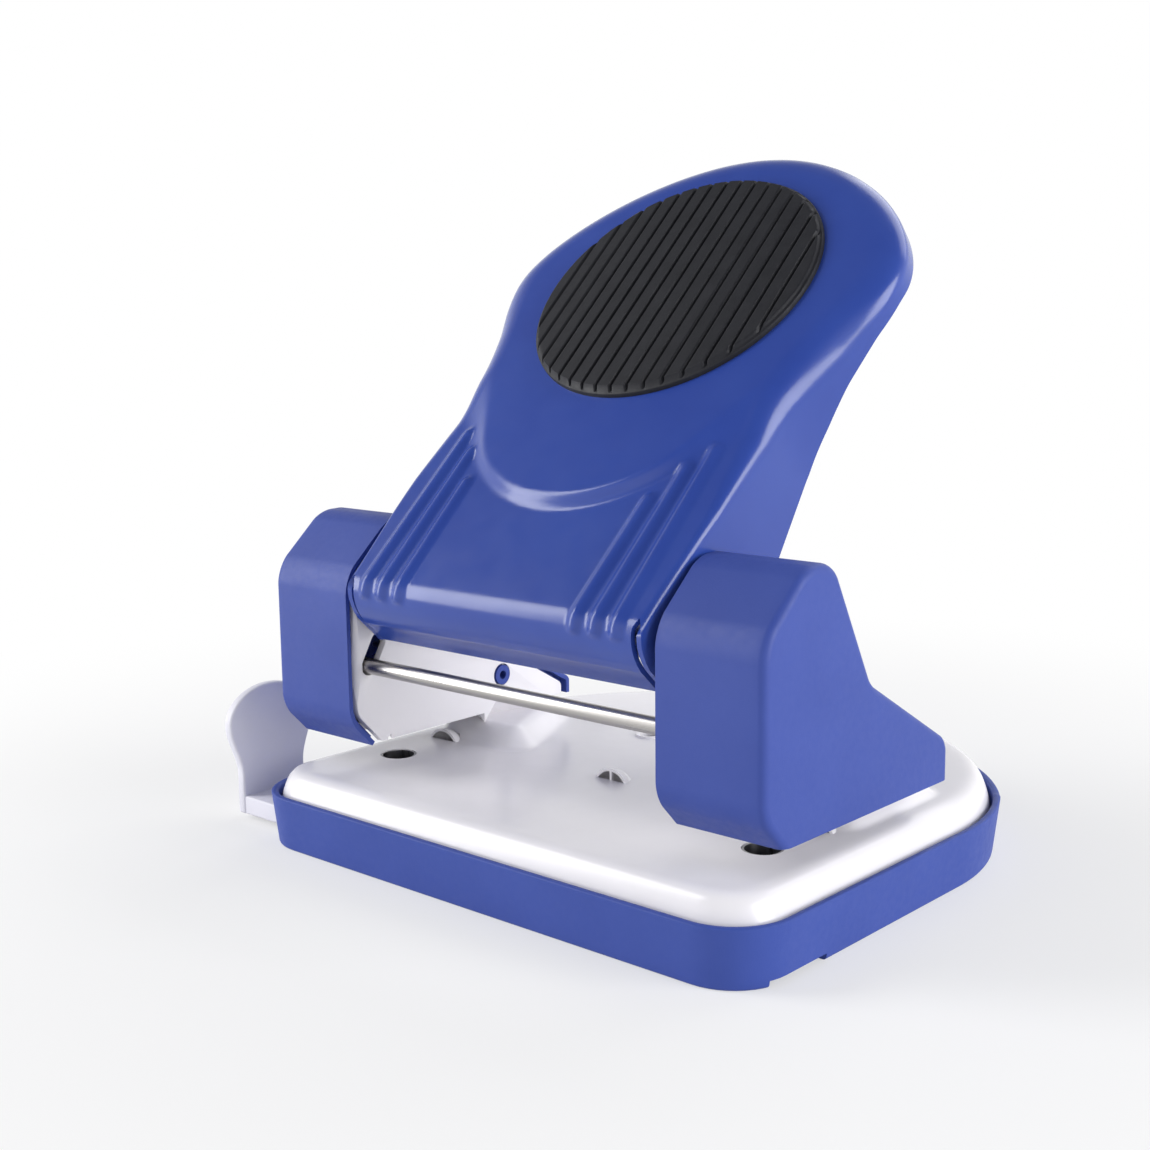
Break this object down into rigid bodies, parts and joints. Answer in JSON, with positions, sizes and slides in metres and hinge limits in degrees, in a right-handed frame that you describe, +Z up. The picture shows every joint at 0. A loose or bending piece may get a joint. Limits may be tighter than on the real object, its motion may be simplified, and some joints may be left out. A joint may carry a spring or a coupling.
{
  "type": "hole_punch",
  "caption": "Blue and white desk punch with a wide pressed lever, ribbed black thumb pad, white domed base and a pull-out paper guide.",
  "frame": {"origin": "on the desk, midway between the sides, 39 mm behind the front of the tray", "axes": "X to the right seen from the front, Y to the back, Z up"},
  "size_m": [0.1201, 0.1079, 0.1177],
  "materials": {
    "tray_blue": "matte moulded plastic",
    "cover_blue": "satin moulded plastic",
    "lever_blue": "glossy enamel on pressed steel",
    "enamel_white": "glossy white enamel on sheet steel",
    "guide_pale": "pale matte plastic",
    "grip_black": "ribbed rubber",
    "bright_steel": "bright plated steel",
    "tool_steel": "plain ground steel"
  },
  "bodies": {
    "base": {"base_plate": "enamel_white", "left_die": "tool_steel", "right_die": "tool_steel", "left_bracket": "enamel_white", "right_bracket": "enamel_white", "left_cover": "cover_blue", "right_cover": "cover_blue", "bracket_rivets": "tool_steel", "pivot_axle": "bright_steel", "axle_clips": "tool_steel", "left_spring": "tool_steel", "right_spring": "tool_steel"},
    "lever": {"lever_shell": "lever_blue", "lever_grip": "grip_black", "press_bar": "bright_steel", "press_bar_clips": "tool_steel"},
    "left_pin": {"left_punch_pin": "tool_steel", "left_spring_cap": "tool_steel"},
    "right_pin": {"right_punch_pin": "tool_steel", "right_spring_cap": "tool_steel"},
    "lock": {"lock_rod": "bright_steel"},
    "tray": {"chip_tray": "tray_blue"},
    "guide": {"guide_bar": "guide_pale"}
  },
  "joints": [
    {"name": "lever_press", "type": "hinge", "parent": "base", "child": "lever", "pos_m": [0, -0.0266, 0.0444], "axis": [-1, 0, 0], "range_deg": [0, 38]},
    {"name": "left_punch", "type": "slide", "parent": "base", "child": "left_pin", "axis": [0, 0, -1], "range_m": [0, 0.0072], "stiffness_N_per_m": 1200, "springref_m": -0.008, "deforming": ["left_spring"]},
    {"name": "right_punch", "type": "slide", "parent": "base", "child": "right_pin", "axis": [0, 0, -1], "range_m": [0, 0.0072], "stiffness_N_per_m": 1200, "springref_m": -0.008, "deforming": ["right_spring"]},
    {"name": "lock_slide", "type": "slide", "parent": "base", "child": "lock", "axis": [0, 0.5, 0.866], "range_m": [0, 0.0044]},
    {"name": "guide_slide", "type": "slide", "parent": "tray", "child": "guide", "axis": [-1, 0, 0], "range_m": [-0.009, 0.055]},
    {"name": "tray_release", "type": "slide", "parent": "base", "child": "tray", "axis": [0, 0, -1], "range_m": [0, 0.02]}
  ],
  "couplings": [
    {"joint": "left_punch", "follows": "lever_press", "m_per_rad": 0.0107},
    {"joint": "right_punch", "follows": "lever_press", "m_per_rad": 0.0107}
  ]
}
